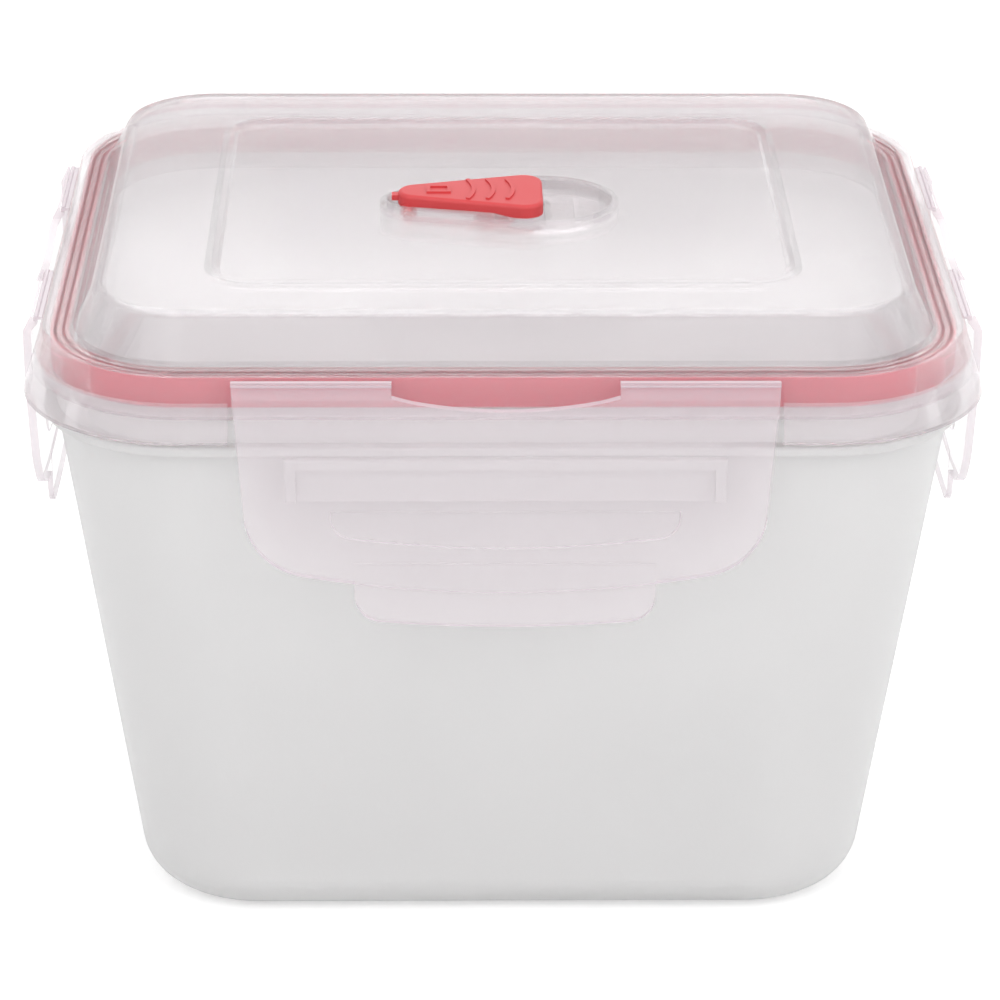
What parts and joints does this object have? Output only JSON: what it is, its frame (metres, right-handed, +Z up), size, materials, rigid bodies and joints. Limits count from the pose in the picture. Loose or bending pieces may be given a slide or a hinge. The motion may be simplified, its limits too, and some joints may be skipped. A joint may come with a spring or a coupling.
{
  "type": "food canister",
  "caption": "Rectangular snap-lock food canister: frosted tub, clear domed lid with living-hinge flaps, silicone gasket and a flip-up vent lever.",
  "frame": {"origin": "centre of the base, on the surface that the canister stands on", "axes": "+Z up, -Y to the front with the flap that faces the viewer, +X to the right"},
  "size_m": [0.2054, 0.1814, 0.1471],
  "materials": {
    "tub_plastic": "frosted translucent polypropylene",
    "lid_plastic": "clear glossy polypropylene",
    "gasket_silicone": "translucent coral red silicone",
    "vent_plastic": "satin coral red plastic"
  },
  "bodies": {
    "container": {"container_body": "tub_plastic"},
    "lid": {"lid": "lid_plastic", "gasket": "gasket_silicone", "front_hinge": "lid_plastic", "rear_hinge": "lid_plastic", "left_hinge": "lid_plastic", "right_hinge": "lid_plastic"},
    "vent": {"vent_lever": "vent_plastic", "vent_plug": "gasket_silicone"},
    "front_flap": {"front_flap": "lid_plastic"},
    "rear_flap": {"rear_flap": "lid_plastic"},
    "left_flap": {"left_flap": "lid_plastic"},
    "right_flap": {"right_flap": "lid_plastic"}
  },
  "joints": [
    {"name": "lid_lift", "type": "slide", "parent": "container", "child": "lid", "axis": [0, 0, 1], "range_m": [0, 0.08]},
    {"name": "front_flap_hinge", "type": "hinge", "parent": "lid", "child": "front_flap", "pos_m": [0, -0.0877, 0.1349], "axis": [-1, 0, 0], "range_deg": [0, 135]},
    {"name": "rear_flap_hinge", "type": "hinge", "parent": "lid", "child": "rear_flap", "pos_m": [0, 0.0877, 0.1349], "axis": [1, 0, 0], "range_deg": [0, 135]},
    {"name": "left_flap_hinge", "type": "hinge", "parent": "lid", "child": "left_flap", "pos_m": [-0.0997, 0, 0.1349], "axis": [0, 1, 0], "range_deg": [0, 135]},
    {"name": "right_flap_hinge", "type": "hinge", "parent": "lid", "child": "right_flap", "pos_m": [0.0997, 0, 0.1349], "axis": [0, -1, 0], "range_deg": [0, 135]},
    {"name": "vent_lever_hinge", "type": "hinge", "parent": "lid", "child": "vent", "pos_m": [-0.0206, 0, 0.1426], "axis": [0, -1, 0], "range_deg": [0, 60]}
  ]
}
